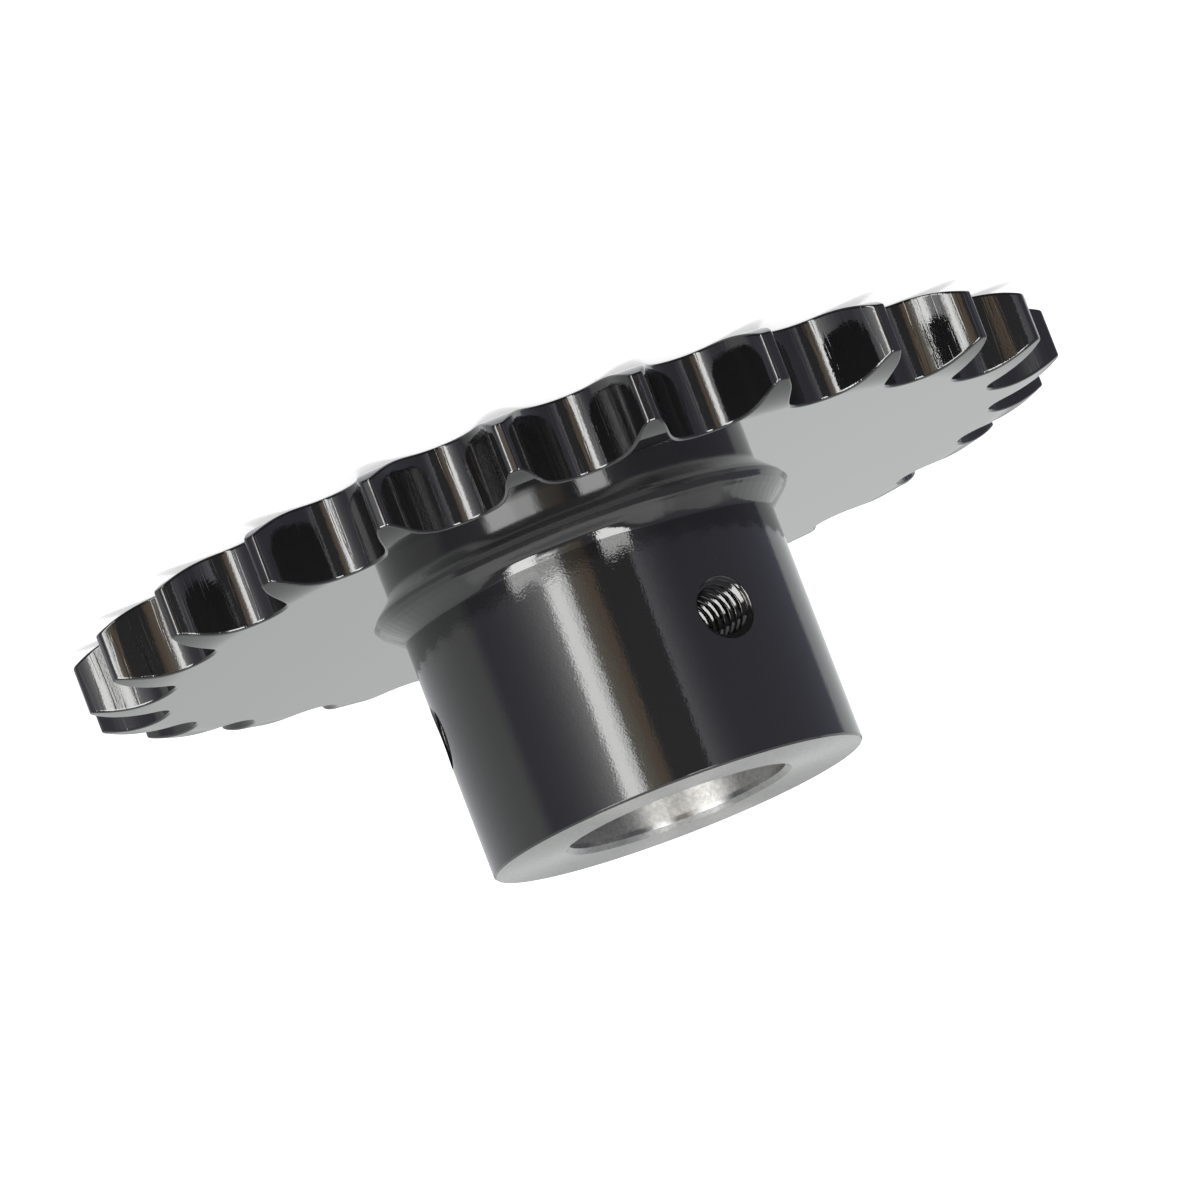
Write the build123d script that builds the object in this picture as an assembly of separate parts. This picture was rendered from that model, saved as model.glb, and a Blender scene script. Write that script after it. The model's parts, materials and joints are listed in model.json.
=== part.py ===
"""Welded roller-chain sprocket: a flame-cut and hobbed toothed plate on a turned hub.

Frame: millimetres, +Z up. The plate's flat back face lies on z = 0, the bore axis is
the Z axis and the hub stands up from the plate. One tooth gap is centred on +X, and
so is the first set-screw hole.
"""

import os
from math import asin, atan2, cos, hypot, pi, radians, sin, sqrt, tan

from build123d import *

# Chain and teeth
chain_pitch = 19.05
roller_diameter = 11.91
tooth_count = 23
plate_thickness = 11.6
side_relief_depth = 2.25
side_relief_height = 9.5

# Hub
hub_diameter = 57.0
hub_projection = 39.9
hub_edge_chamfer = 0.3
pilot_diameter = 46.0
bore_diameter = 33.34
bore_chamfer = 0.75

# Weld between the hub and the plate
weld_leg_on_plate = 3.7
weld_leg_on_hub = 3.4
weld_crown = 0.7
weld_bands = 3

# Set-screw holes, bored at the major diameter of their thread
screw_diameter = 9.525
screw_height = 18.2
screw_angles = (0.0, 120.0)

# Worked out from the values above
tooth_angle = 360.0 / tooth_count
half_pitch_angle = pi / tooth_count
pitch_diameter = chain_pitch / sin(half_pitch_angle)
outside_diameter = chain_pitch * (0.6 + 1.0 / tan(half_pitch_angle))
outside_radius = outside_diameter / 2.0
hub_end = plate_thickness + hub_projection


def polar(centre, radius, angle):
    """Point at an angle in radians on the circle round a centre."""
    return (centre[0] + radius * cos(angle), centre[1] + radius * sin(angle))


def arc(centre, radius, start, end):
    """Circular edge between two angles in radians, by the way of their mean."""
    return ThreePointArc(
        polar(centre, radius, start),
        polar(centre, radius, (start + end) / 2.0),
        polar(centre, radius, end),
    )


def tooth_gap():
    """Face of one gap between two teeth, centred on +Y and open beyond the tips.

    The flank is the standard roller-chain form: a seating curve just wider than the
    roller, a working curve, a short straight and a topping curve that ends in the point
    where it would meet the next gap on the centre line of the tooth.
    """
    n = tooth_count
    roller = roller_diameter
    seat_angle = radians(35.0 + 60.0 / n)
    working_angle = radians(18.0 - 56.0 / n)
    straight_angle = radians(17.0 - 64.0 / n)
    seat_radius = (1.005 * roller + 0.076) / 2.0
    working_radius = 1.3025 * roller + 0.038
    topping_radius = (
        roller * (0.8 * cos(working_angle) + 1.4 * cos(straight_angle) - 1.3025) - 0.038
    )
    straight = roller * (1.4 * sin(straight_angle) - 0.8 * sin(working_angle))

    roller_centre = (0.0, pitch_diameter / 2.0)
    working_centre = polar(roller_centre, 0.8 * roller, pi - seat_angle)
    topping_centre = polar(roller_centre, 1.4 * roller, -half_pitch_angle)

    working_end = polar(working_centre, working_radius, working_angle - seat_angle)
    rise = working_angle - seat_angle + pi / 2.0
    straight_end = polar(working_end, straight, rise)

    # The topping curve runs to the centre line of the tooth
    centre_line = pi / 2.0 - half_pitch_angle
    along = topping_centre[0] * cos(centre_line) + topping_centre[1] * sin(centre_line)
    across = topping_centre[0] * sin(centre_line) - topping_centre[1] * cos(centre_line)
    point_radius = along + sqrt(topping_radius**2 - across**2)
    point = polar((0.0, 0.0), point_radius, centre_line)
    topping_start = atan2(
        straight_end[1] - topping_centre[1], straight_end[0] - topping_centre[0]
    )
    topping_end = atan2(point[1] - topping_centre[1], point[0] - topping_centre[0])
    clear_of_tips = polar((0.0, 0.0), point_radius + roller, centre_line)

    seat = arc(roller_centre, seat_radius, -pi / 2.0, -seat_angle)
    working = arc(working_centre, working_radius, -seat_angle, working_angle - seat_angle)
    flank = Line(working_end, straight_end)
    topping = arc(topping_centre, topping_radius, topping_start, topping_end)
    side = Line(point, clear_of_tips)
    right = [seat, working, flank, topping, side]
    left = [edge.mirror(Plane.YZ) for edge in right]
    top = Line(clear_of_tips, (-clear_of_tips[0], clear_of_tips[1]))
    return make_face(Wire(right + left + [top]))


def turned_blank():
    """Disc with the plate's bore and the curved relief on both sides of the rim."""
    relief_radius = (side_relief_height**2 + side_relief_depth**2) / (2.0 * side_relief_depth)
    relief_start = outside_radius - side_relief_height
    half_turn = asin(side_relief_height / relief_radius) / 2.0
    low_centre = (relief_start, relief_radius)
    high_centre = (relief_start, plate_thickness - relief_radius)
    tip_low = (outside_radius, side_relief_depth)
    tip_high = (outside_radius, plate_thickness - side_relief_depth)
    section = [
        Line((pilot_diameter / 2.0, 0.0), (relief_start, 0.0)),
        ThreePointArc(
            (relief_start, 0.0), polar(low_centre, relief_radius, half_turn - pi / 2.0), tip_low
        ),
        Line(tip_low, tip_high),
        ThreePointArc(
            tip_high,
            polar(high_centre, relief_radius, pi / 2.0 - half_turn),
            (relief_start, plate_thickness),
        ),
        Line((relief_start, plate_thickness), (pilot_diameter / 2.0, plate_thickness)),
        Line((pilot_diameter / 2.0, plate_thickness), (pilot_diameter / 2.0, 0.0)),
    ]
    face = Plane.XZ * make_face(Wire(section))
    return revolve(face, Axis.Z, 360)


def toothed_plate():
    """Blank with one gap cut for each tooth, the first one centred on +X."""
    cutter = extrude(tooth_gap(), plate_thickness)
    gaps = [Rot(0, 0, k * tooth_angle - 90.0) * cutter for k in range(tooth_count)]
    return turned_blank() - gaps


def hub():
    """Turned hub with a pilot through the plate, chamfered ends and set-screw holes."""
    bore = bore_diameter / 2.0
    outer = hub_diameter / 2.0
    pilot = pilot_diameter / 2.0
    section = Polyline(
        (bore, bore_chamfer),
        (bore + bore_chamfer, 0.0),
        (pilot, 0.0),
        (pilot, plate_thickness),
        (outer, plate_thickness),
        (outer, hub_end - hub_edge_chamfer),
        (outer - hub_edge_chamfer, hub_end),
        (bore + bore_chamfer, hub_end),
        (bore, hub_end - bore_chamfer),
        close=True,
    )
    body = revolve(Plane.XZ * make_face(section), Axis.Z, 360)
    axis_start = Plane((0.0, 0.0, plate_thickness + screw_height), z_dir=(1, 0, 0))
    drill = extrude(axis_start * Circle(screw_diameter / 2.0), hub_diameter)
    return body - [Rot(0, 0, angle) * drill for angle in screw_angles]


def weld_bead():
    """Ring of weld metal in the corner of hub and plate, its domed face in flat bands."""
    corner = (hub_diameter / 2.0, plate_thickness)
    on_plate = (corner[0] + weld_leg_on_plate, corner[1])
    on_hub = (corner[0], corner[1] + weld_leg_on_hub)
    length = hypot(weld_leg_on_plate, weld_leg_on_hub)
    crown = (
        (on_plate[0] + on_hub[0]) / 2.0 + weld_crown * weld_leg_on_hub / length,
        (on_plate[1] + on_hub[1]) / 2.0 + weld_crown * weld_leg_on_plate / length,
    )
    dome = ThreePointArc(on_plate, crown, on_hub)
    band_edges = [dome @ (k / weld_bands) for k in range(weld_bands + 1)]
    section = Polyline(corner, *band_edges, close=True)
    return revolve(Plane.XZ * make_face(section), Axis.Z, 360)


os.makedirs("parts", exist_ok=True)
for name, build in (("toothed_plate", toothed_plate), ("hub", hub), ("weld_bead", weld_bead)):
    shape = build()
    shape.label = name
    export_step(shape, f"parts/{name}.step")
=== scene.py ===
"""Looks of a welded roller-chain sprocket: gloss black paint over a hobbed plate, a turned
hub with bare machined faces, tapped set-screw holes and a weld bead.

Lengths are in metres and angles in radians unless a name or a comment says otherwise. The
frame is the part's own: the plate's back face on z = 0, the bore along Z, the hub standing
up, one tooth gap and the first set-screw hole on +X.
"""

import json
import math

import bpy
import numpy as np
from mathutils import Matrix, Vector


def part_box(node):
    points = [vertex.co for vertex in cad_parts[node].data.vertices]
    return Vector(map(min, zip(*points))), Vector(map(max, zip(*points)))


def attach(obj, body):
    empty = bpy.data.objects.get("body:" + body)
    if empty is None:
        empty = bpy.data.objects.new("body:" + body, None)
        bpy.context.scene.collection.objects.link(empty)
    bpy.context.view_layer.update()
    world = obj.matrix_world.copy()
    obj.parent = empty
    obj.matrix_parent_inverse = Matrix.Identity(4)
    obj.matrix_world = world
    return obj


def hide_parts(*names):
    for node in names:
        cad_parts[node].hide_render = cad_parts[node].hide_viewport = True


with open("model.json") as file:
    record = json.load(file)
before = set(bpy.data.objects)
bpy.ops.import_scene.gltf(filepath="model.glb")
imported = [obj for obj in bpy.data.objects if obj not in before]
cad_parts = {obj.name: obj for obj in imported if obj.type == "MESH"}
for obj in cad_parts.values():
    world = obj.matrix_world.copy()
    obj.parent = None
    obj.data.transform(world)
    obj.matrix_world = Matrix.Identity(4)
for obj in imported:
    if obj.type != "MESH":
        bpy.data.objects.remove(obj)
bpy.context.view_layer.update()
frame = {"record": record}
MOUNTS = {mount["name"]: mount for mount in frame["record"]["mounts"]}
MM = 0.001
DEGREES = 180.0 / math.pi

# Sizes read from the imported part
PLATE_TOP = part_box("toothed_plate")[1].z
HUB_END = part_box("hub")[1].z
HUB_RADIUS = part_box("hub")[1].y
BEAD_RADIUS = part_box("weld_bead")[1].y
BORE_RADIUS = MOUNTS["bore"]["dims"]["r_mm"] * MM
SCREW_RADIUS = MOUNTS["set_screw_a"]["dims"]["r_mm"] * MM
SCREW_HEIGHT = MOUNTS["set_screw_a"]["pos_m"][2]
SCREW_ANGLES = [
    math.atan2(MOUNTS[name]["axis"][1], MOUNTS[name]["axis"][0])
    for name in ("set_screw_a", "set_screw_b")
]

# Chain and tooth form, as in the part's source. The tips stay a hair inside its box
PITCH = 19.05 * MM
ROLLER = 11.91 * MM
TEETH = 23
TIP_CLEARANCE = 0.003 * MM
RELIEF_DEPTH = 2.25 * MM
RELIEF_HEIGHT = 9.5 * MM
PILOT_RADIUS = 23.0 * MM
BORE_CHAMFER = 0.75 * MM
HUB_CHAMFER = 0.3 * MM
HALF_PITCH_ANGLE = math.pi / TEETH
PITCH_RADIUS = PITCH / math.sin(HALF_PITCH_ANGLE) / 2.0
TIP_RADIUS = PITCH * (0.6 + 1.0 / math.tan(HALF_PITCH_ANGLE)) / 2.0 - TIP_CLEARANCE
RELIEF_START = TIP_RADIUS - RELIEF_HEIGHT
RELIEF_ARC = (RELIEF_HEIGHT**2 + RELIEF_DEPTH**2) / (2.0 * RELIEF_DEPTH)

# Broken edges
PLATE_EDGE_ROUND = 0.45 * MM
TIP_CORNER_ROUND = 0.5 * MM
HUB_EDGE_ROUND = 0.12 * MM
BORE_EDGE_ROUND = 0.12 * MM

# Weld bead: its section from the toe on the plate to the one on the hub, as millimetres out
# from the hub and up from the plate, where it is full and where it is lean
BEAD_FULL = (
    (3.5, 0.0),
    (3.24, 0.4),
    (2.98, 0.8),
    (2.66, 1.1),
    (2.3, 1.45),
    (1.85, 1.83),
    (1.4, 2.22),
    (0.95, 2.63),
    (0.5, 3.07),
    (0.17, 3.45),
    (0.03, 3.68),
    (0.0, 3.85),
)
BEAD_LEAN = (
    (2.6, 0.0),
    (2.33, 0.4),
    (2.04, 0.8),
    (1.7, 1.1),
    (1.32, 1.4),
    (0.93, 1.7),
    (0.58, 2.0),
    (0.42, 2.3),
    (0.3, 2.6),
    (0.19, 2.92),
    (0.08, 3.22),
    (0.0, 3.44),
)

# Bearing and half width of each lean stretch, in degrees
BEAD_LEAN_STRETCHES = ((41.0, 23.0), (150.0, 14.0), (238.0, 19.0), (283.0, 11.0))

# Slow changes of the bead's width, height and beat round the hub: seed, amount and the
# number of times that each wave goes round
BEAD_WIDTH_WANDER = (3, 0.02, (3, 5, 9, 17))
BEAD_HEIGHT_WANDER = (8, 0.03, (2, 5, 7))
BEAD_BEAT_WANDER = (21, 1.5, (4, 7, 11, 19))
BEAD_RIPPLE = 0.004 * MM
BEAD_RIPPLE_LENGTH = 2.1 * MM

# Set-screw thread, 16 turns to the inch, with its flats as shares of the pitch
THREAD_PITCH = 1.5875 * MM
THREAD_DEPTH = 0.86 * MM
THREAD_CREST = 0.25
THREAD_ROOT = 0.125
THREAD_FADE = 0.9 * MM

# Fineness of the meshes
OUTLINE_STEP = 0.42 * MM
HUB_COLUMNS = 288
SCREW_POINTS = 96
SCREW_WINDOW = 7.4 * MM
THREAD_ROWS = 150
BEAD_COLUMNS = 1080
BEAD_ROWS = 61
WELD_CELL = 1.37e-7

# Slots of the materials on the plate and on the hub
FACE, RIM = range(2)
PAINTED, TURNED, BORED, THREADED = range(4)

# Surface grain, in cycles per metre
PEEL_SCALE = 900.0
GRIT_SCALE = 3200.0
SCORE_SCALE = 1100.0
TURNING_SCALE = 5000.0
GRAIN_SCALE = 2600.0
STAIN_SCALE = 1500.0

# Camera, solved from the tooth tips, the rim and the bore
CAMERA_LENS_MM = 343.2
CAMERA_SENSOR_MM = 36.0
CAMERA_AIM = Vector((-2.143, -1.791, 18.336)) * MM
CAMERA_DISTANCE = 1659.35 * MM
CAMERA_AZIMUTH = math.radians(35.821)
CAMERA_ELEVATION = math.radians(8.859)
CAMERA_ROLL = math.radians(158.972)

# Azimuths in degrees between which the room in front of the object hides the backdrops, and
# the widths over which its two edges fade
FRONT_ROOM = (-131, 74, 4, 14)


class Patch:
    """A grid of points with a smooth normal at each one, later welded to its neighbours."""

    def __init__(self, points, normals, material=0, wrap=True):
        self.points = np.asarray(points, float)
        normals = np.asarray(normals, float)
        self.normals = normals / np.linalg.norm(normals, axis=-1, keepdims=True)
        self.material = material
        self.wrap = wrap

    def quads(self):
        """Corner indices of each quad, turned so that its front is on the normals' side."""
        rows, columns = self.points.shape[:2]
        across = columns if self.wrap else columns - 1
        i, j = np.meshgrid(np.arange(rows - 1), np.arange(across), indexing="ij")
        i, j = i.ravel(), j.ravel()
        k = (j + 1) % columns
        corners = np.stack(
            [i * columns + j, i * columns + k, (i + 1) * columns + k, (i + 1) * columns + j], 1
        )
        flat = self.points.reshape(-1, 3)[corners]
        face = np.cross(flat[:, 2] - flat[:, 0], flat[:, 3] - flat[:, 1])
        smooth = self.normals.reshape(-1, 3)[corners].mean(1)
        turned = (face * smooth).sum(1) < 0
        corners[turned] = corners[turned][:, ::-1]
        return corners


def build_mesh(name, patches, materials, node):
    """One welded mesh from patches, each keeping its own normals where they meet."""
    points = np.concatenate([p.points.reshape(-1, 3) for p in patches])
    normals = np.concatenate([p.normals.reshape(-1, 3) for p in patches])
    corners, material = [], []
    start = 0
    for patch in patches:
        quads = patch.quads() + start
        corners.append(quads)
        material.append(np.full(len(quads), patch.material))
        start += patch.points.shape[0] * patch.points.shape[1]
    corners = np.concatenate(corners)
    material = np.concatenate(material)

    # Points in one cell of a fine grid become one, and quads may shrink to triangles
    keys = np.round(points / WELD_CELL).astype(np.int64)
    _, first, welded = np.unique(keys, axis=0, return_index=True, return_inverse=True)
    welded = welded.reshape(-1)
    faces, face_normals, face_material = [], [], []
    for quad, slot_index in zip(corners, material):
        ring = []
        for corner in quad:
            if not ring or welded[corner] != welded[ring[-1]]:
                ring.append(corner)
        if welded[ring[0]] == welded[ring[-1]]:
            ring.pop()
        if len(ring) < 3:
            continue
        faces.append([int(welded[corner]) for corner in ring])
        face_normals.extend(normals[corner] for corner in ring)
        face_material.append(int(slot_index))

    mesh = bpy.data.meshes.new(name)
    mesh.from_pydata(points[first].tolist(), [], faces)
    for one in materials:
        mesh.materials.append(one)
    mesh.polygons.foreach_set("material_index", face_material)
    mesh.polygons.foreach_set("use_smooth", [True] * len(faces))
    mesh.normals_split_custom_set([tuple(n) for n in face_normals])
    mesh.update()
    piece = bpy.data.objects.new(name, mesh)
    bpy.context.scene.collection.objects.link(piece)
    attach(piece, "root")
    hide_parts(node)
    return piece


def on_circle(radius, angles, heights):
    """Points round Z from a radius and a height, each one number or one per angle."""
    flat = np.ones(len(angles))
    return np.stack([radius * np.cos(angles), radius * np.sin(angles), heights * flat], 1)


def revolve_patch(profile, normals, angles, material=0):
    """Patch swept round Z from (radius, height) points and their (radial, axial) normals."""
    points = np.stack([on_circle(radius, angles, height) for radius, height in profile])
    turned = np.stack([on_circle(radial, angles, axial) for radial, axial in normals])
    return Patch(points, turned, material)


def rounded_profile(corners, rounds, steps=5):
    """Points and normals of an outline in (radius, height) with its inner corners rounded.

    The outline runs with the material on its left, so its normals point to the right.
    """
    points, normals = [], []
    corners = [np.array(c, float) for c in corners]

    def right_of(direction):
        return np.array([direction[1], -direction[0]])

    for index, corner in enumerate(corners):
        if index in (0, len(corners) - 1):
            other = corners[1] - corner if index == 0 else corner - corners[-2]
            points.append(corner)
            normals.append(right_of(other / np.linalg.norm(other)))
            continue
        before = corner - corners[index - 1]
        after = corners[index + 1] - corner
        before /= np.linalg.norm(before)
        after /= np.linalg.norm(after)
        turn = math.acos(float(np.clip(before @ after, -1.0, 1.0)))
        side = math.copysign(1.0, before[0] * after[1] - before[1] * after[0])
        radius = rounds[index - 1]
        start = corner - before * radius * math.tan(turn / 2.0)
        centre = start - side * right_of(before) * radius
        for step in range(steps + 1):
            angle = side * turn * step / steps
            spin = np.array(
                [[math.cos(angle), -math.sin(angle)], [math.sin(angle), math.cos(angle)]]
            )
            normal = spin @ right_of(before)
            points.append(centre + side * normal * radius)
            normals.append(normal)
    return points, normals


def arc_points(centre, radius, start, end, step):
    """Points along an arc, about a step apart, with both ends."""
    count = max(2, int(round(abs(end - start) * radius / step)) + 1)
    angles = np.linspace(start, end, count)
    return np.stack([centre[0] + radius * np.cos(angles), centre[1] + radius * np.sin(angles)], 1)


def rounded_tip(topping, land, tip):
    """Points from a topping curve over its corner at the tip to the land beyond.

    The corner is rounded by a short curve with the corner as its handle.
    """
    kept = topping[np.linalg.norm(topping - tip, axis=1) > TIP_CORNER_ROUND]
    flat = land[np.linalg.norm(land - tip, axis=1) > TIP_CORNER_ROUND]
    rise_in = (tip - topping[-2]) / np.linalg.norm(tip - topping[-2])
    run_out = (land[1] - tip) / np.linalg.norm(land[1] - tip)
    enter, leave = tip - rise_in * TIP_CORNER_ROUND, tip + run_out * TIP_CORNER_ROUND
    s = np.linspace(0.0, 1.0, 8)[:, None]
    corner = (1 - s) ** 2 * enter + 2 * s * (1 - s) * tip + s**2 * leave
    return np.concatenate([kept[1:], corner, flat])


def half_tooth(step):
    """Right half of a gap centred on +Y, from its lowest point to the tooth's centre line.

    The form is the standard one of the part's source, with a narrow land on the tip circle.
    """
    seat_angle = math.radians(35.0 + 60.0 / TEETH)
    working_angle = math.radians(18.0 - 56.0 / TEETH)
    straight_angle = math.radians(17.0 - 64.0 / TEETH)
    seat_radius = (1.005 * ROLLER + 0.076 * MM) / 2.0
    working_radius = 1.3025 * ROLLER + 0.038 * MM
    topping_radius = (
        ROLLER * (0.8 * math.cos(working_angle) + 1.4 * math.cos(straight_angle) - 1.3025)
        - 0.038 * MM
    )
    straight = ROLLER * (1.4 * math.sin(straight_angle) - 0.8 * math.sin(working_angle))
    roller_centre = np.array([0.0, PITCH_RADIUS])

    def away(distance, angle):
        return roller_centre + distance * np.array([math.cos(angle), math.sin(angle)])

    working_centre = away(0.8 * ROLLER, math.pi - seat_angle)
    topping_centre = away(1.4 * ROLLER, -HALF_PITCH_ANGLE)
    seat = arc_points(roller_centre, seat_radius, -math.pi / 2.0, -seat_angle, step)
    working = arc_points(
        working_centre, working_radius, -seat_angle, working_angle - seat_angle, step
    )
    rise = working_angle - seat_angle + math.pi / 2.0
    straight_end = working[-1] + straight * np.array([math.cos(rise), math.sin(rise)])
    middle = (working[-1] + straight_end) / 2.0

    # The topping curve runs to the tip circle
    offset = np.hypot(*topping_centre)
    bearing = math.atan2(topping_centre[1], topping_centre[0])
    across = offset**2 + topping_radius**2 - TIP_RADIUS**2
    swing = math.acos(across / (2 * offset * topping_radius))
    topping_start = math.atan2(*(straight_end - topping_centre)[::-1])
    topping_end = bearing + math.pi - swing
    topping = arc_points(topping_centre, topping_radius, topping_start, topping_end, step)
    tip = topping[-1]
    tip_bearing = math.atan2(tip[1], tip[0])
    centre_line = math.pi / 2.0 - HALF_PITCH_ANGLE
    land = arc_points((0.0, 0.0), TIP_RADIUS, tip_bearing, centre_line, step / 2.0)
    flank = [middle, straight_end]
    return np.concatenate([seat, working[1:], flank, rounded_tip(topping, land, tip)])


def plate_outline(step):
    """Closed outline of the whole rim and its outward normals, one gap centred on +X."""
    half = half_tooth(step)
    mirrored = half[:0:-1] * (-1, 1)
    gap = np.concatenate([mirrored[1:], half])
    turns = np.arange(TEETH) * 2.0 * HALF_PITCH_ANGLE - math.pi / 2.0
    loops = []
    for turn in turns[::-1]:
        cos, sin = math.cos(turn), math.sin(turn)
        loops.append(gap @ np.array([[cos, sin], [-sin, cos]]))
    outline = np.concatenate(loops)
    along = np.roll(outline, -1, 0) - np.roll(outline, 1, 0)
    along /= np.linalg.norm(along, axis=1, keepdims=True)
    normals = np.stack([along[:, 1], -along[:, 0]], 1)
    outwards = np.sign((normals * outline).sum(1).mean())
    return outline, normals * outwards


def relief(radius):
    """Depth of the side relief below the plate's face, and its slope, at a radius."""
    past = np.maximum(radius - RELIEF_START, 0.0)
    height = np.sqrt(RELIEF_ARC**2 - past**2)
    return RELIEF_ARC - height, past / height


def toothed_plate(paint, shaded_rim_paint):
    """The plate as rings of points: out over one face, down the rim and back in."""
    outline, normals = plate_outline(OUTLINE_STEP)
    inner_rings = (PILOT_RADIUS, 40.0 * MM, 54.0 * MM)
    outer_ring = 62.0 * MM
    shares_of_way = (1.0, 0.85, 0.7, 0.55, 0.4, 0.27, 0.15, 0.06, 0.0)
    fillet_steps = 6
    edge = PLATE_EDGE_ROUND

    inset = outline - normals * edge
    inset_radius = np.hypot(inset[:, 0], inset[:, 1])
    outward = inset / inset_radius[:, None]

    # Where a ball in the corner of wall and relieved face touches the face
    touch = inset_radius
    for _ in range(6):
        slope = relief(touch)[1]
        touch = inset_radius + edge * slope / np.hypot(slope, 1.0)
    rows, row_normals = [], []

    def add(xy, z, normal_xy, normal_z):
        rows.append(np.concatenate([xy, z[:, None]], 1))
        row_normals.append(np.concatenate([normal_xy, normal_z[:, None]], 1))

    flat = np.ones(len(outline))
    for radius in inner_rings:
        add(outward * radius, flat * PLATE_TOP, outward * 0.0, flat)
    for share in shares_of_way:
        radius = touch + (outer_ring - touch) * share
        depth, slope = relief(radius)
        add(outward * radius[:, None], PLATE_TOP - depth, outward * slope[:, None], flat)

    # The rounded edge is tangent to the wall and to the relieved face beside it
    depth, slope = relief(touch)
    face_normal = np.concatenate([outward * slope[:, None], flat[:, None]], 1)
    face_normal /= np.linalg.norm(face_normal, axis=1, keepdims=True)
    wall_normal = np.concatenate([normals, flat[:, None] * 0.0], 1)
    top = np.concatenate([outward * touch[:, None], (PLATE_TOP - depth)[:, None]], 1)
    ball = top - face_normal * edge
    for step in range(1, fillet_steps + 1):
        turn = step / fillet_steps * math.pi / 2
        mixed = face_normal * math.cos(turn) + wall_normal * math.sin(turn)
        mixed /= np.linalg.norm(mixed, axis=1, keepdims=True)
        rows.append(ball + mixed * edge)
        row_normals.append(mixed)
    middle = rows[-1].copy()
    middle[:, 2] = PLATE_TOP / 2.0
    rows.append(middle)
    row_normals.append(wall_normal)

    # The other face mirrors the first
    upper = len(rows) - 1
    for index in range(upper - 1, -1, -1):
        low = rows[index].copy()
        low[:, 2] = PLATE_TOP - low[:, 2]
        rows.append(low)
        row_normals.append(row_normals[index] * (1, 1, -1))
    faces = len(inner_rings) + len(shares_of_way)
    rows, row_normals = np.stack(rows), np.stack(row_normals)
    spans = (slice(0, faces), slice(faces - 1, 1 - faces), slice(-faces, None))
    # The rim takes the darker copy of the paint, which is painted shade on the flanks and in the
    # gaps
    patches = [
        Patch(rows[span], row_normals[span], material)
        for span, material in zip(spans, (FACE, RIM, FACE))
    ]

    wall = np.stack([rows[0], rows[-1]])
    inward = np.concatenate([-outward, flat[:, None] * 0.0], 1)
    patches.append(Patch(wall, np.stack([inward, inward]), FACE))
    return build_mesh(
        "toothed_plate_body", patches, [paint, shaded_rim_paint], "toothed_plate"
    )


def smooth_wander(angles, seed, amount, turns):
    """A smooth closed curve round the axis, from a few waves with seeded phases."""
    gain = 1.6
    phases = np.random.default_rng(seed).uniform(0, 2 * math.pi, len(turns))
    waves = [np.sin(count * angles + phase) / len(turns) for count, phase in zip(turns, phases)]
    return amount * sum(waves) * gain


def drawn_through(points, count):
    """Smooth curve through a short list of points, evenly spread over its spans."""
    points = np.array(points, float)
    before = 2 * points[0] - points[1]
    after = 2 * points[-1] - points[-2]
    padded = np.vstack([before, points, after])
    place = np.linspace(0, len(points) - 1, count)
    span = np.minimum(place.astype(int), len(points) - 2)
    t = (place - span)[:, None]
    a, b, c, d = (padded[span + k] for k in range(4))
    return 0.5 * (
        2 * b + (c - a) * t + (2 * a - 5 * b + 4 * c - d) * t**2 + (3 * b - a - 3 * c + d) * t**3
    )


def lean_share(angles):
    """How far the bead is lean at each angle, from 0 to 1."""
    lean = np.zeros(len(angles))
    for bearing, half_width in BEAD_LEAN_STRETCHES:
        away = np.degrees(np.angle(np.exp(1j * (angles - math.radians(bearing)))))
        lean += np.exp(-((away / half_width) ** 6))
    return lean


def weld_bead(paint):
    """Ring of weld metal, full along most of its length and lean in some stretches."""
    angles = np.linspace(0, 2 * math.pi, BEAD_COLUMNS, endpoint=False)
    full_leg, full_height = BEAD_FULL[0][0], BEAD_FULL[-1][1]
    most = (BEAD_RADIUS - HUB_RADIUS) / (full_leg * MM)
    wider = np.minimum(1.0 + smooth_wander(angles, *BEAD_WIDTH_WANDER), most)
    taller = 1.0 + smooth_wander(angles, *BEAD_HEIGHT_WANDER)
    lean = lean_share(angles)

    # Ripples left by the arc bow back along the bead and are strongest in its middle
    beat = smooth_wander(angles, *BEAD_BEAT_WANDER)
    bow = 10.0
    ripples = round(math.pi * (HUB_RADIUS + BEAD_RADIUS) / BEAD_RIPPLE_LENGTH)
    rows = []
    for full, thin in zip(drawn_through(BEAD_FULL, BEAD_ROWS), drawn_through(BEAD_LEAN, BEAD_ROWS)):
        out, up = (full[:, None] * (1.0 - lean) + thin[:, None] * lean) * MM
        share = full[1] / full_height
        arch = 4.0 * share * (1.0 - share)
        ripple = BEAD_RIPPLE * arch * np.sin(ripples * angles + beat + bow * (share - 0.5) ** 2)
        radius = HUB_RADIUS + out * wider + ripple * 0.6
        rows.append(on_circle(radius, angles, PLATE_TOP + up * taller + ripple * 0.8))
    face = np.stack(rows)
    along = np.roll(face, -1, 1) - np.roll(face, 1, 1)
    across = np.gradient(face, axis=0)
    normal = np.cross(along, across)
    normal *= np.sign((normal * on_circle(1.0, angles, 1.0)).sum(-1, keepdims=True))

    # Flat undersides against the plate and the hub close the ring
    corner = on_circle(HUB_RADIUS, angles, PLATE_TOP)
    down = np.tile((0.0, 0.0, -1.0), (2, len(angles), 1))
    inward = on_circle(-1.0, angles, 0.0)
    patches = [
        Patch(face, normal),
        Patch(np.stack([corner, rows[0]]), down),
        Patch(np.stack([rows[-1], corner]), np.stack([inward, inward])),
    ]
    return build_mesh("weld_bead_ring", patches, [paint], "weld_bead")


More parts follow.
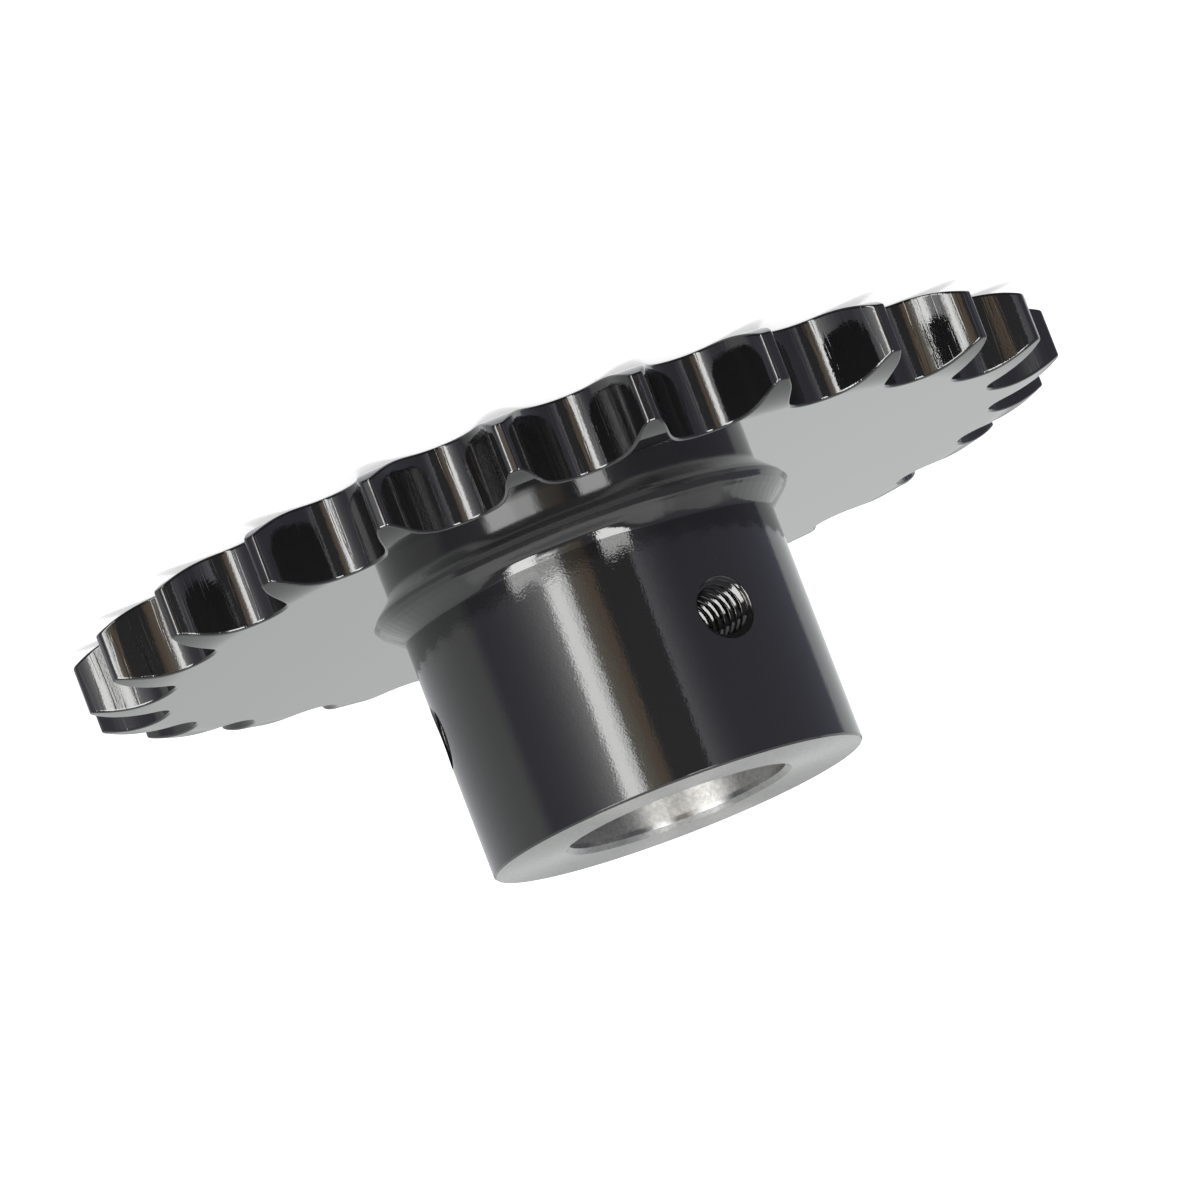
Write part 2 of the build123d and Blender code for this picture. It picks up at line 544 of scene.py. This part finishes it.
def rings_round_hole(radius, centre, half_columns, window, step):
    """Rings of points on a cylinder, from a set-screw hole's edge to a rectangle round it."""
    columns = np.arange(-half_columns, half_columns + 1) * step

    # Walk round the rectangle from the middle of its right side
    right = [(columns[-1], z) for z in window[:-1]]
    top = [(column, window[-1]) for column in columns[:0:-1]]
    left = [(columns[0], z) for z in window[:0:-1]]
    bottom = [(column, window[0]) for column in columns[:-1]]
    rim = np.array(right + top + left + bottom)
    rim = np.roll(rim, -((len(window) - 1) // 2), 0)

    spread = np.arange(SCREW_POINTS) * 2 * math.pi / SCREW_POINTS
    hole_angle = np.arcsin(SCREW_RADIUS * np.cos(spread) / radius)
    hole = np.stack([hole_angle, SCREW_HEIGHT + SCREW_RADIUS * np.sin(spread)], 1)
    shares_of_way = (0.0, 0.04, 0.1, 0.2, 0.35, 0.55, 0.78, 1.0)
    rings = np.stack([hole * (1 - share) + rim * share for share in shares_of_way])
    angle = rings[..., 0] + centre
    return np.stack([radius * np.cos(angle), radius * np.sin(angle), rings[..., 1]], -1)


def wall_with_holes(radius, bottom, top, half_columns, sign, material):
    """Cylinder wall between two heights, with a round hole at each set screw.

    Full columns pass between the holes. Round each hole a rectangle of the grid, so many
    columns wide to each side, is left out and filled by rings that turn from the rectangle
    into the hole's edge. Sign is 1 for a wall seen from outside and -1 for one seen from
    the axis.
    """
    step = 2 * math.pi / HUB_COLUMNS
    window_rows = SCREW_POINTS // 2 - 2 * half_columns
    window = np.linspace(
        SCREW_HEIGHT - SCREW_WINDOW, SCREW_HEIGHT + SCREW_WINDOW, window_rows + 1
    )
    below = np.linspace(bottom, window[0], 6)[:-1]
    above = np.linspace(window[-1], top, 8)[1:]
    heights = np.concatenate([below, window, above])
    window_top = len(below) + window_rows

    def strip(first, last, strip_heights):
        angles = np.arange(first, last + 1) * step
        points = np.stack([on_circle(radius, angles, z) for z in strip_heights])
        return Patch(points, points * (sign, sign, 0), material, wrap=False)

    patches = []
    centres = sorted(int(round(a / step)) % HUB_COLUMNS for a in SCREW_ANGLES)
    for index, centre in enumerate(centres):
        after = centres[(index + 1) % len(centres)]
        if after <= centre:
            after += HUB_COLUMNS
        left, right = centre - half_columns, centre + half_columns
        patches.append(strip(right, after - half_columns, heights))
        patches.append(strip(left, right, heights[: len(below) + 1]))
        patches.append(strip(left, right, heights[window_top:]))
        rings = rings_round_hole(radius, centre * step, half_columns, window, step)
        patches.append(Patch(rings, rings * (sign, sign, 0), material))
    return patches


def thread_depth(turns):
    """Share of the thread's height at a place counted in turns along the hole."""
    phase = np.abs((turns + 0.5) % 1.0 - 0.5) * 2.0
    ramp = (1.0 - THREAD_ROOT - phase) / (1.0 - THREAD_ROOT - THREAD_CREST)
    return np.clip(ramp, 0.0, 1.0)


def screw_hole(angle):
    """Threaded wall of one set-screw hole, from the bore to the hub's side."""
    spread = np.arange(SCREW_POINTS) * 2 * math.pi / SCREW_POINTS
    start = np.sqrt(BORE_RADIUS**2 - (SCREW_RADIUS * np.cos(spread)) ** 2)
    end = np.sqrt(HUB_RADIUS**2 - (SCREW_RADIUS * np.cos(spread)) ** 2)
    share = np.linspace(0, 1, THREAD_ROWS)[:, None]
    along = start + (end - start) * share
    fade = np.minimum((along - start) / THREAD_FADE, (end - along) / THREAD_FADE)
    fade = np.clip(fade, 0.0, 1.0)
    fade = fade * fade * (3 - 2 * fade)
    turns = along / THREAD_PITCH - spread / (2 * math.pi)
    radius = SCREW_RADIUS - THREAD_DEPTH * thread_depth(turns) * fade
    points = np.stack([along, radius * np.cos(spread), SCREW_HEIGHT + radius * np.sin(spread)], -1)
    around = np.roll(points, -1, 1) - np.roll(points, 1, 1)
    ahead = np.gradient(points, axis=0)
    normals = np.cross(around, ahead)
    inward = np.stack([0 * spread, -np.cos(spread), -np.sin(spread)], 1)
    normals *= np.sign((normals * inward).sum(-1, keepdims=True))
    turn = np.array(Matrix.Rotation(angle, 3, "Z"))
    return Patch(points @ turn.T, normals @ turn.T, THREADED)


def hub(paint, turned, bored, threaded):
    """Turned hub: painted side and outer edge, bare end face and bore, tapped holes."""
    columns = np.arange(HUB_COLUMNS) * 2 * math.pi / HUB_COLUMNS
    mouth_radius = BORE_RADIUS + BORE_CHAMFER

    # Outer edge, painted as far as the end face
    edge, edge_normals = rounded_profile(
        [
            (HUB_RADIUS, HUB_END - 2.0 * HUB_CHAMFER),
            (HUB_RADIUS, HUB_END - HUB_CHAMFER),
            (HUB_RADIUS - HUB_CHAMFER, HUB_END),
            (HUB_RADIUS - 1.3 * HUB_CHAMFER, HUB_END),
        ],
        [HUB_EDGE_ROUND, HUB_EDGE_ROUND],
    )
    patches = [revolve_patch(edge, edge_normals, columns, PAINTED)]
    patches += wall_with_holes(HUB_RADIUS, PLATE_TOP, edge[0][1], 12, 1, PAINTED)

    # Bare end face, then the bore's broken edge and the bore
    mouth, mouth_normals = rounded_profile(
        [
            (mouth_radius + 0.4 * MM, HUB_END),
            (mouth_radius, HUB_END),
            (BORE_RADIUS, HUB_END - BORE_CHAMFER),
            (BORE_RADIUS, HUB_END - 2.0 * BORE_CHAMFER),
        ],
        [BORE_EDGE_ROUND, BORE_EDGE_ROUND],
    )
    end_face = [(radius, HUB_END) for radius in np.linspace(edge[-1][0], mouth[0][0], 6)]
    patches.append(revolve_patch(end_face, [(0, 1)] * len(end_face), columns, TURNED))
    patches.append(revolve_patch(mouth, mouth_normals, columns, TURNED))
    patches += wall_with_holes(BORE_RADIUS, BORE_CHAMFER, mouth[-1][1], 18, -1, BORED)

    # Chamfer, back end, pilot and shoulder, the last two inside the plate
    hidden = (
        ((BORE_RADIUS, BORE_CHAMFER), (mouth_radius, 0.0), (-1, -1), BORED),
        ((mouth_radius, 0.0), (PILOT_RADIUS, 0.0), (0, -1), TURNED),
        ((PILOT_RADIUS, 0.0), (PILOT_RADIUS, PLATE_TOP), (1, 0), TURNED),
        ((PILOT_RADIUS, PLATE_TOP), (HUB_RADIUS, PLATE_TOP), (0, -1), TURNED),
    )
    for start, end, normal, material in hidden:
        patches.append(revolve_patch([start, end], [normal, normal], columns, material))
    patches += [screw_hole(angle) for angle in SCREW_ANGLES]
    return build_mesh("hub_body", patches, [paint, turned, bored, threaded], "hub")


class Graph:
    """Makes and links the shader nodes of a material or a world."""

    def __init__(self, owner):
        owner.use_nodes = True
        self.nodes = owner.node_tree.nodes
        self.links = owner.node_tree.links
        self.nodes.clear()

    def add(self, kind, inputs=None, **settings):
        """A new node with its settings, and with values or links on its inputs."""
        node = self.nodes.new("ShaderNode" + kind)
        for name, value in settings.items():
            setattr(node, name, value)
        for name, value in (inputs or {}).items():
            socket = node.inputs[name]
            if isinstance(value, bpy.types.NodeSocket):
                self.links.new(value, socket)
            elif socket.type == "RGBA":
                socket.default_value = (*value, 1.0)
            else:
                socket.default_value = value
        return node

    def maths(self, operation, *values):
        """Result of a maths node on numbers or sockets."""
        return self.add("Math", dict(enumerate(values)), operation=operation).outputs[0]

    def mix(self, share, below, above):
        """Blend of two colours, the second one where the share is 1."""
        inputs = {"Factor": share, "A": below, "B": above}
        return self.add("Mix", inputs, data_type="RGBA").outputs["Result"]

    def ramp(self, value, low, high, smooth=False):
        """0 at one value and 1 at another, straight or smooth between them."""
        inputs = {"Value": value, "From Min": low, "From Max": high}
        kind = "SMOOTHSTEP" if smooth else "LINEAR"
        return self.add("MapRange", inputs, interpolation_type=kind).outputs["Result"]

    def between(self, value, low, high, soft_low=2.0, soft_high=2.0):
        """1 between two values, falling smoothly to 0 over a width outside each."""
        rise = self.ramp(value, low - soft_low, low, smooth=True)
        fall = self.ramp(value, high + soft_high, high, smooth=True)
        return self.maths("MULTIPLY", rise, fall)

    def noise(self, vector, scale, detail=2.0, roughness=0.5):
        """Noise texture on a vector, in cycles per metre."""
        inputs = {"Vector": vector, "Scale": scale, "Detail": detail, "Roughness": roughness}
        return self.add("TexNoise", inputs).outputs["Fac"]

    def bump(self, height, distance, normal=None):
        """Bump of a given height in metres, on top of another normal if there is one."""
        inputs = {"Height": height, "Distance": distance, "Strength": 1.0}
        if normal is not None:
            inputs["Normal"] = normal
        return self.add("Bump", inputs).outputs["Normal"]


def new_material(name):
    """An empty node material and its graph."""
    material = bpy.data.materials.new(name)
    return material, Graph(material)


def gloss_paint(name, peel, grit, shade=0.016, ior=1.5, scores=0.0):
    """Thick black gloss paint with orange peel and dust in it, over steel that may be scored."""
    material, graph = new_material(name)
    place = graph.add("TexCoord").outputs["Object"]
    normal = graph.bump(graph.noise(place, PEEL_SCALE), peel)
    normal = graph.bump(graph.noise(place, GRIT_SCALE, detail=1.0), grit, normal)
    if scores > 0.0:
        stretched = graph.add("Mapping", {"Vector": place, "Scale": (1.0, 1.0, 0.05)})
        lines = graph.noise(stretched.outputs["Vector"], SCORE_SCALE)
        normal = graph.bump(graph.ramp(lines, 0.53, 0.62, smooth=True), scores, normal)
    inputs = {
        "Base Color": (shade, shade, 1.03 * shade),
        "IOR": ior,
        "Roughness": 0.06,
        "Normal": normal,
    }
    shader = graph.add("BsdfPrincipled", inputs)
    graph.add("OutputMaterial", {"Surface": shader.outputs["BSDF"]})
    return material


def bare_steel(name, colour, roughness, spaced_along):
    """Machined steel: fine marks round the axis that smear its gloss across them.

    The marks are spaced along the radius on a faced end and along the height in a bore.
    """
    material, graph = new_material(name)
    place = graph.add("TexCoord").outputs["Object"]
    split = graph.add("SeparateXYZ", {"Vector": place})
    across = split.outputs["Z"]
    if spaced_along == "radius":
        level = graph.add("CombineXYZ", {"X": split.outputs["X"], "Y": split.outputs["Y"]})
        length = graph.add("VectorMath", {0: level.outputs["Vector"]}, operation="LENGTH")
        across = length.outputs["Value"]
    line = graph.add("CombineXYZ", {"X": across}).outputs["Vector"]
    normal = graph.bump(graph.noise(line, TURNING_SCALE), 0.005 * MM)
    normal = graph.bump(graph.noise(place, GRAIN_SCALE, 3.0, 0.7), 0.008 * MM, normal)

    # Stains and handling marks lie unevenly over the bare metal
    darker = tuple(0.4 * value for value in colour)
    lighter = tuple(1.6 * value for value in colour)
    stained = graph.mix(graph.noise(place, STAIN_SCALE, 4.0, 0.75), darker, lighter)
    inputs = {
        "Base Color": stained,
        "Metallic": 1.0,
        "Roughness": roughness,
        "Anisotropic": 0.85,
        "Anisotropic Rotation": 0.25,
        "Tangent": graph.add("Tangent", direction_type="RADIAL", axis="Z").outputs["Tangent"],
        "Normal": normal,
    }
    shader = graph.add("BsdfPrincipled", inputs)
    graph.add("OutputMaterial", {"Surface": shader.outputs["BSDF"]})
    return material


def backdrops(graph, azimuth, elevation, leftward):
    """Two backdrops behind the part, one on each side, brighter above the horizon."""
    side = graph.ramp(leftward, -0.07, 0.07, smooth=True)
    turned = graph.ramp(azimuth, 100, 180)
    low_left = graph.mix(turned, (0.88, 0.89, 0.9), (0.79, 0.8, 0.83))
    high_left = graph.mix(turned, (1.07, 1.09, 1.08), (0.91, 0.93, 0.92))
    low = graph.mix(side, (1.04, 1.06, 1.07), low_left)
    high = graph.mix(side, (1.12, 1.14, 1.14), high_left)
    colour = graph.mix(graph.ramp(elevation, 0, 7, smooth=True), low, high)
    return graph.mix(graph.between(elevation, -3, 3, 3, 4), colour, (0.62, 0.62, 0.63))


def room_in_front(graph, azimuth, elevation, colour):
    """Dim room on the camera's side, with a panel, a dark gap, a warm edge and a key light."""
    colour = graph.mix(graph.between(azimuth, *FRONT_ROOM), colour, (0.35, 0.35, 0.46))

    # A panel on the right brightens towards the dark gap in the middle
    rising = graph.maths("POWER", graph.ramp(azimuth, -56, -28), 2.5)
    rising = graph.maths("MULTIPLY", rising, graph.between(azimuth, -60, -27, 1, 1))
    colour = graph.mix(rising, colour, (1.42, 1.42, 1.5))
    colour = graph.mix(graph.between(azimuth, -26, 12, 1, 2), colour, (0.26, 0.26, 0.27))
    warm = graph.mix(graph.ramp(azimuth, 2, 10), (1.3, 0.96, 0.66), (1.8, 1.68, 1.4))
    colour = graph.mix(graph.between(azimuth, 0.5, 12, 5.5, 1), colour, warm)

    # The key light fades away to the left from an azimuth of 27
    fading = graph.maths("MULTIPLY", graph.maths("SUBTRACT", azimuth, 27), -1 / 12)
    fading = graph.maths("MINIMUM", graph.maths("EXPONENT", fading), 1.0)
    fading = graph.maths("MULTIPLY", fading, graph.between(azimuth, 14, 90, 2, 10))
    colour = graph.mix(fading, colour, (3.8, 3.8, 3.75))

    under = graph.maths(
        "MULTIPLY",
        graph.ramp(elevation, -13, -22, smooth=True),
        graph.between(azimuth, *FRONT_ROOM),
    )
    return graph.mix(under, colour, (0.1, 0.1, 0.11))


def lamps(graph, azimuth, elevation, colour):
    """Softboxes in front, the dark above them, raised lamps and a bright ceiling."""

    def lamp(colour, height, strength, *azimuths):
        share = graph.maths("MULTIPLY", height, graph.between(azimuth, *azimuths))
        return graph.mix(share, colour, (strength, strength, 0.99 * strength))

    upright = graph.between(elevation, -60, 24, 10, 12)
    colour = lamp(colour, upright, 9.8, 15.5, 25.2, 5, 4)
    colour = lamp(colour, upright, 13.5, 19, 24, 4, 2.5)
    colour = lamp(colour, graph.between(elevation, 3, 22, 5, 6), 14.0, 17, 40, 3, 6)

    above = graph.maths(
        "MULTIPLY",
        graph.ramp(elevation, 26, 38, smooth=True),
        graph.between(azimuth, *FRONT_ROOM),
    )
    colour = graph.mix(above, colour, (0.42, 0.42, 0.45))
    beside = graph.maths(
        "MULTIPLY",
        graph.ramp(elevation, 34, 44, smooth=True),
        graph.between(azimuth, -131, -106, 4, 6),
    )
    colour = graph.mix(beside, colour, (1.0, 1.0, 1.02))

    raised = graph.between(elevation, 6, 40, 6, 6)
    colour = lamp(colour, raised, 16.0, -29, -13.5, 2, 2)
    colour = lamp(colour, raised, 17.0, 31, 43, 6, 6)
    return graph.mix(graph.ramp(elevation, 56, 68, smooth=True), colour, (1.65, 1.66, 1.67))


def studio():
    """World: white to the camera, even light on the object and a studio in its gloss.

    The studio is laid out in degrees of elevation and of azimuth from the camera, which
    grows anticlockwise seen from above.
    """
    world = bpy.data.worlds.new("studio")
    bpy.context.scene.world = world
    graph = Graph(world)
    direction = graph.add("TexCoord").outputs["Generated"]
    inputs = {"Vector": direction, "Angle": -CAMERA_AZIMUTH}
    turned = graph.add("VectorRotate", inputs, rotation_type="Z_AXIS").outputs["Vector"]
    split = graph.add("SeparateXYZ", {"Vector": turned}).outputs
    azimuth = graph.maths("ARCTAN2", split["Y"], split["X"])
    azimuth = graph.maths("MULTIPLY", azimuth, DEGREES)
    elevation = graph.maths("MULTIPLY", graph.maths("ARCSINE", split["Z"]), DEGREES)

    colour = backdrops(graph, azimuth, elevation, split["Y"])
    colour = room_in_front(graph, azimuth, elevation, colour)
    colour = lamps(graph, azimuth, elevation, colour)

    rays = graph.add("LightPath").outputs
    even = graph.mix(rays["Is Glossy Ray"], (0.9, 0.9, 0.92), colour)
    shown = graph.mix(rays["Is Camera Ray"], even, (1.0, 1.0, 1.0))
    background = graph.add("Background", {"Color": shown}).outputs["Background"]
    graph.add("OutputWorld", {"Surface": background})


def floor():
    """Plain white floor that keeps the object's soft shadow."""
    bpy.ops.mesh.primitive_plane_add(size=3.0, location=(0.0, 0.0, -0.02 * MM))
    plane = bpy.context.object
    plane.name = "floor"
    material, graph = new_material("floor_white")
    diffuse = graph.add("BsdfDiffuse", {"Color": (0.9, 0.9, 0.9)})
    camera_ray = graph.add("LightPath").outputs["Is Camera Ray"]
    glow = graph.add("Emission", {"Strength": graph.maths("MULTIPLY", camera_ray, 0.6)})
    inputs = {0: diffuse.outputs["BSDF"], 1: glow.outputs["Emission"]}
    graph.add("OutputMaterial", {"Surface": graph.add("AddShader", inputs).outputs["Shader"]})
    plane.data.materials.append(material)
    plane.visible_glossy = False


def camera():
    """The photograph's view: a long lens, low over the plate, with the part turned over."""
    data = bpy.data.cameras.new("camera")
    data.lens = CAMERA_LENS_MM
    data.sensor_width = CAMERA_SENSOR_MM
    data.clip_start = 0.05
    data.clip_end = 50.0
    view = bpy.data.objects.new("camera", data)
    bpy.context.scene.collection.objects.link(view)
    level = math.cos(CAMERA_ELEVATION)
    back = Vector(
        (
            level * math.cos(CAMERA_AZIMUTH),
            level * math.sin(CAMERA_AZIMUTH),
            math.sin(CAMERA_ELEVATION),
        )
    )
    aimed = back.to_track_quat("Z", "Y").to_matrix()
    rolled = aimed @ Matrix.Rotation(CAMERA_ROLL, 3, "Z")
    view.matrix_world = Matrix.Translation(CAMERA_AIM + back * CAMERA_DISTANCE) @ rolled.to_4x4()
    bpy.context.scene.camera = view


bpy.context.scene.view_settings.view_transform = "Standard"
camera()
studio()
floor()
plate_paint = gloss_paint("plate_paint_gloss", peel=0.002 * MM, grit=0.001 * MM)
# The rim's paint is a darker copy of the plate's black paint: its lower shade is painted shade on
# the tooth flanks and in the gaps between the teeth
shaded_rim_paint = gloss_paint(
    "shaded_copy_rim_gloss", peel=0.006 * MM, grit=0.008 * MM, shade=0.012, ior=1.55, scores=0.009 * MM
)
hub_paint = gloss_paint("hub_paint_gloss", peel=0.010 * MM, grit=0.008 * MM)
weld_paint = gloss_paint("weld_paint_gloss", peel=0.012 * MM, grit=0.006 * MM)
thread_paint = gloss_paint("thread_paint_gloss", peel=0.010 * MM, grit=0.008 * MM)
turned_steel = bare_steel("turned_steel", (0.26, 0.26, 0.255), 0.35, spaced_along="radius")
bored_steel = bare_steel("bored_steel", (0.385, 0.38, 0.365), 0.62, spaced_along="height")
toothed_plate(plate_paint, shaded_rim_paint)
hub(hub_paint, turned_steel, bored_steel, thread_paint)
weld_bead(weld_paint)
